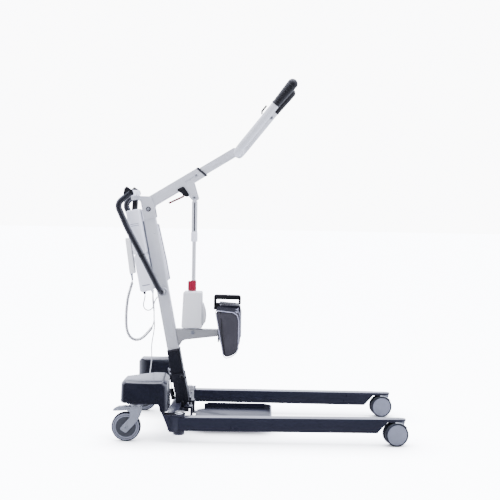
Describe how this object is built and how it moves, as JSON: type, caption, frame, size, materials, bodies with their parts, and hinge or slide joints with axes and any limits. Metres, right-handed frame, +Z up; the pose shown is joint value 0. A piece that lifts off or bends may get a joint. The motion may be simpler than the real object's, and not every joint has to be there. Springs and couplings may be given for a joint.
{
  "type": "stand-assist patient lift",
  "caption": "Mobile stand-assist patient lift on castors: leaning mast, powered boom with U-shaped patient arms, knee pads, footplate and opening legs.",
  "frame": {"origin": "on the floor, below the centre of the bounding box", "axes": "+X towards the patient side where the legs point, +Y left, +Z up"},
  "size_m": [1.2785, 0.7, 1.5493],
  "materials": {
    "chassis_paint": "anthracite navy satin",
    "silver_paint": "silver grey satin",
    "zinc": "zinc plated",
    "chrome_rod": "polished",
    "cover_plastic": "navy moulded",
    "box_plastic": "light grey moulded",
    "black_plastic": "black",
    "handle_paint": "black gloss",
    "castor_plastic": "grey moulded",
    "wheel_grey": "light grey disc with dark tread",
    "tyre_rubber": "dark tread on a grey hub",
    "grip_rubber": "soft black",
    "pad_cover": "slate wipe-clean upholstery with piping",
    "red_plastic": "red",
    "cord_grey": "grey cable jacket"
  },
  "bodies": {
    "base": {"cross_beam": "chassis_paint", "rear_arm_left": "chassis_paint", "rear_arm_right": "chassis_paint", "rear_cover_left": "cover_plastic", "rear_cover_right": "cover_plastic", "mast_foot": "chassis_paint", "leg_pivot_pins": "zinc"},
    "leg_left": {"leg_left": "chassis_paint"},
    "leg_right": {"leg_right": "chassis_paint"},
    "spread_motor": {"spread_motor": "black_plastic"},
    "spread_rod": {"spread_rod": "zinc"},
    "footplate": {"footplate": "chassis_paint"},
    "mast": {"mast_socket": "chassis_paint", "mast_tube": "silver_paint", "mast_head": "silver_paint", "push_handle_left": "handle_paint", "push_handle_right": "handle_paint", "control_box": "box_plastic", "knee_arm": "silver_paint", "curly_cord": "cord_grey", "handset_lead": "cord_grey", "spread_lead": "cord_grey", "lift_lead": "cord_grey"},
    "fold_latch": {"fold_latch": "black_plastic"},
    "battery": {"battery_pack": "box_plastic"},
    "emergency_stop": {"emergency_stop": "red_plastic"},
    "handset": {"handset": "box_plastic"},
    "key_up": {"key_up": "castor_plastic"},
    "key_down": {"key_down": "castor_plastic"},
    "boom": {"boom_tube": "silver_paint"},
    "boom_lock": {"boom_lock": "black_plastic"},
    "inner_boom": {"inner_boom": "silver_paint", "arm_tube": "silver_paint", "grip_left": "grip_rubber", "grip_right": "grip_rubber", "sling_pegs": "zinc"},
    "sling_clip_left": {"sling_clip_left": "grip_rubber"},
    "sling_clip_right": {"sling_clip_right": "grip_rubber"},
    "actuator": {"lift_motor": "box_plastic", "drive_screw": "zinc"},
    "piston": {"piston_rod": "chrome_rod", "push_tube": "silver_paint"},
    "release": {"lowering_release": "red_plastic"},
    "knee": {"knee_spine": "cover_plastic", "knee_handle": "black_plastic", "knee_pad_left": "pad_cover", "knee_pad_right": "pad_cover"},
    "front_castor_left": {"front_castor_hood_left": "castor_plastic"},
    "front_wheel_inner_left": {"front_wheel_inner_left": "wheel_grey"},
    "front_wheel_outer_left": {"front_wheel_outer_left": "wheel_grey"},
    "rear_castor_left": {"rear_castor_fork_left": "castor_plastic"},
    "rear_wheel_left": {"rear_wheel_left": "tyre_rubber"},
    "brake_pedal_left": {"brake_pedal_left": "castor_plastic"},
    "front_castor_right": {"front_castor_hood_right": "castor_plastic"},
    "front_wheel_inner_right": {"front_wheel_inner_right": "wheel_grey"},
    "front_wheel_outer_right": {"front_wheel_outer_right": "wheel_grey"},
    "rear_castor_right": {"rear_castor_fork_right": "castor_plastic"},
    "rear_wheel_right": {"rear_wheel_right": "tyre_rubber"},
    "brake_pedal_right": {"brake_pedal_right": "castor_plastic"}
  },
  "joints": [
    {"name": "leg_spread", "type": "hinge", "parent": "base", "child": "leg_left", "pos_m": [-0.331, 0.316, 0], "axis": [0, 0, 1], "range_deg": [0, 10]},
    {"name": "leg_right_spread", "type": "hinge", "parent": "base", "child": "leg_right", "pos_m": [-0.331, -0.316, 0], "axis": [0, 0, 1], "range_deg": [-10, 0]},
    {"name": "spread_motor_pivot", "type": "hinge", "parent": "leg_right", "child": "spread_motor", "pos_m": [-0.367, -0.272, 0.05], "axis": [0, 0, 1], "range_deg": [0, 10]},
    {"name": "spread_rod_slide", "type": "slide", "parent": "spread_motor", "child": "spread_rod", "axis": [0, 1, 0], "range_m": [-0.0125, 0]},
    {"name": "front_swivel_left", "type": "hinge", "parent": "leg_left", "child": "front_castor_left", "pos_m": [0.60599, 0.29454, 0.1], "axis": [0, 0, 1], "continuous": true},
    {"name": "front_roll_inner_left", "type": "hinge", "parent": "front_castor_left", "child": "front_wheel_inner_left", "pos_m": [0.58617, 0.29187, 0.05], "axis": [-0.1338, 0.991, 0], "continuous": true},
    {"name": "front_roll_outer_left", "type": "hinge", "parent": "front_castor_left", "child": "front_wheel_outer_left", "pos_m": [0.58617, 0.29187, 0.05], "axis": [-0.1338, 0.991, 0], "continuous": true},
    {"name": "rear_swivel_left", "type": "hinge", "parent": "base", "child": "rear_castor_left", "pos_m": [-0.513, 0.316, 0.15], "axis": [0, 0, 1], "continuous": true},
    {"name": "rear_roll_left", "type": "hinge", "parent": "rear_castor_left", "child": "rear_wheel_left", "pos_m": [-0.554, 0.316, 0.0625], "axis": [0, 1, 0], "continuous": true},
    {"name": "brake_left", "type": "hinge", "parent": "rear_castor_left", "child": "brake_pedal_left", "pos_m": [-0.543, 0.316, 0.141], "axis": [0, -1, 0], "range_deg": [0, 10]},
    {"name": "front_swivel_right", "type": "hinge", "parent": "leg_right", "child": "front_castor_right", "pos_m": [0.60599, -0.29454, 0.1], "axis": [0, 0, 1], "continuous": true},
    {"name": "front_roll_inner_right", "type": "hinge", "parent": "front_castor_right", "child": "front_wheel_inner_right", "pos_m": [0.58632, -0.29812, 0.05], "axis": [-0.179, 0.9838, 0], "continuous": true},
    {"name": "front_roll_outer_right", "type": "hinge", "parent": "front_castor_right", "child": "front_wheel_outer_right", "pos_m": [0.58632, -0.29812, 0.05], "axis": [-0.179, 0.9838, 0], "continuous": true},
    {"name": "rear_swivel_right", "type": "hinge", "parent": "base", "child": "rear_castor_right", "pos_m": [-0.513, -0.316, 0.15], "axis": [0, 0, 1], "continuous": true},
    {"name": "rear_roll_right", "type": "hinge", "parent": "rear_castor_right", "child": "rear_wheel_right", "pos_m": [-0.554, -0.316, 0.0625], "axis": [0, 1, 0], "continuous": true},
    {"name": "brake_right", "type": "hinge", "parent": "rear_castor_right", "child": "brake_pedal_right", "pos_m": [-0.543, -0.316, 0.141], "axis": [0, -1, 0], "range_deg": [0, 10]},
    {"name": "footplate_lift", "type": "slide", "parent": "base", "child": "footplate", "axis": [0, 0, 1], "range_m": [0, 0.04]},
    {"name": "mast_fold", "type": "hinge", "parent": "base", "child": "mast", "pos_m": [-0.34443, 0, 0.22944], "axis": [0, 1, 0], "range_deg": [0, 55]},
    {"name": "fold_latch_pull", "type": "slide", "parent": "base", "child": "fold_latch", "axis": [0.1908, 0, -0.9816], "range_m": [0, 0.006], "stiffness_N_per_m": 800},
    {"name": "battery_lift", "type": "slide", "parent": "mast", "child": "battery", "axis": [-0.1908, 0, 0.9816], "range_m": [0, 0.015]},
    {"name": "stop_push", "type": "slide", "parent": "mast", "child": "emergency_stop", "axis": [0, -1, 0], "range_m": [0, 0.004], "stiffness_N_per_m": 1500},
    {"name": "handset_lift", "type": "slide", "parent": "mast", "child": "handset", "axis": [-0.1392, 0, 0.9903], "range_m": [0, 0.015]},
    {"name": "key_up_push", "type": "slide", "parent": "handset", "child": "key_up", "axis": [0.9903, 0, 0.1392], "range_m": [0, 0.0012], "stiffness_N_per_m": 1200},
    {"name": "key_down_push", "type": "slide", "parent": "handset", "child": "key_down", "axis": [0.9903, 0, 0.1392], "range_m": [0, 0.0012], "stiffness_N_per_m": 1200},
    {"name": "boom_lift", "type": "hinge", "parent": "mast", "child": "boom", "pos_m": [-0.50471, 0, 0.97903], "axis": [0, -1, 0], "range_deg": [-36, 4]},
    {"name": "actuator_tilt", "type": "hinge", "parent": "mast", "child": "actuator", "pos_m": [-0.3, 0, 0.427], "axis": [0, 1, 0], "range_deg": [-0.8, 0.2]},
    {"name": "piston_travel", "type": "slide", "parent": "actuator", "child": "piston", "axis": [0, 0, 1], "range_m": [-0.131, 0.016]},
    {"name": "release_lift", "type": "slide", "parent": "actuator", "child": "release", "axis": [0, 0, 1], "range_m": [0, 0.008], "stiffness_N_per_m": 500},
    {"name": "boom_lock_press", "type": "hinge", "parent": "boom", "child": "boom_lock", "pos_m": [-0.35569, 0, 1.0727], "axis": [0, -1, 0], "range_deg": [0, 18], "stiffness_Nm_per_rad": 0.6},
    {"name": "boom_length", "type": "slide", "parent": "boom", "child": "inner_boom", "axis": [0.8526, 0, 0.5225], "range_m": [-0.045, 0.1]},
    {"name": "clip_left", "type": "hinge", "parent": "inner_boom", "child": "sling_clip_left", "pos_m": [-0.00491, 0.186, 1.39733], "axis": [0, -1, 0], "range_deg": [0, 20], "stiffness_Nm_per_rad": 0.2},
    {"name": "clip_right", "type": "hinge", "parent": "inner_boom", "child": "sling_clip_right", "pos_m": [-0.00491, -0.186, 1.39733], "axis": [0, -1, 0], "range_deg": [0, 20], "stiffness_Nm_per_rad": 0.2},
    {"name": "knee_height", "type": "slide", "parent": "mast", "child": "knee", "axis": [0, 0, 1], "range_m": [-0.03, 0.05]}
  ],
  "couplings": [
    {"joint": "leg_right_spread", "follows": "leg_spread", "ratio": -1},
    {"joint": "spread_motor_pivot", "follows": "leg_spread", "ratio": 1},
    {"joint": "spread_rod_slide", "follows": "leg_spread", "m_per_rad": -0.067},
    {"joint": "actuator_tilt", "follows": "boom_lift", "ratio": 0.021},
    {"joint": "piston_travel", "follows": "boom_lift", "m_per_rad": 0.206}
  ]
}
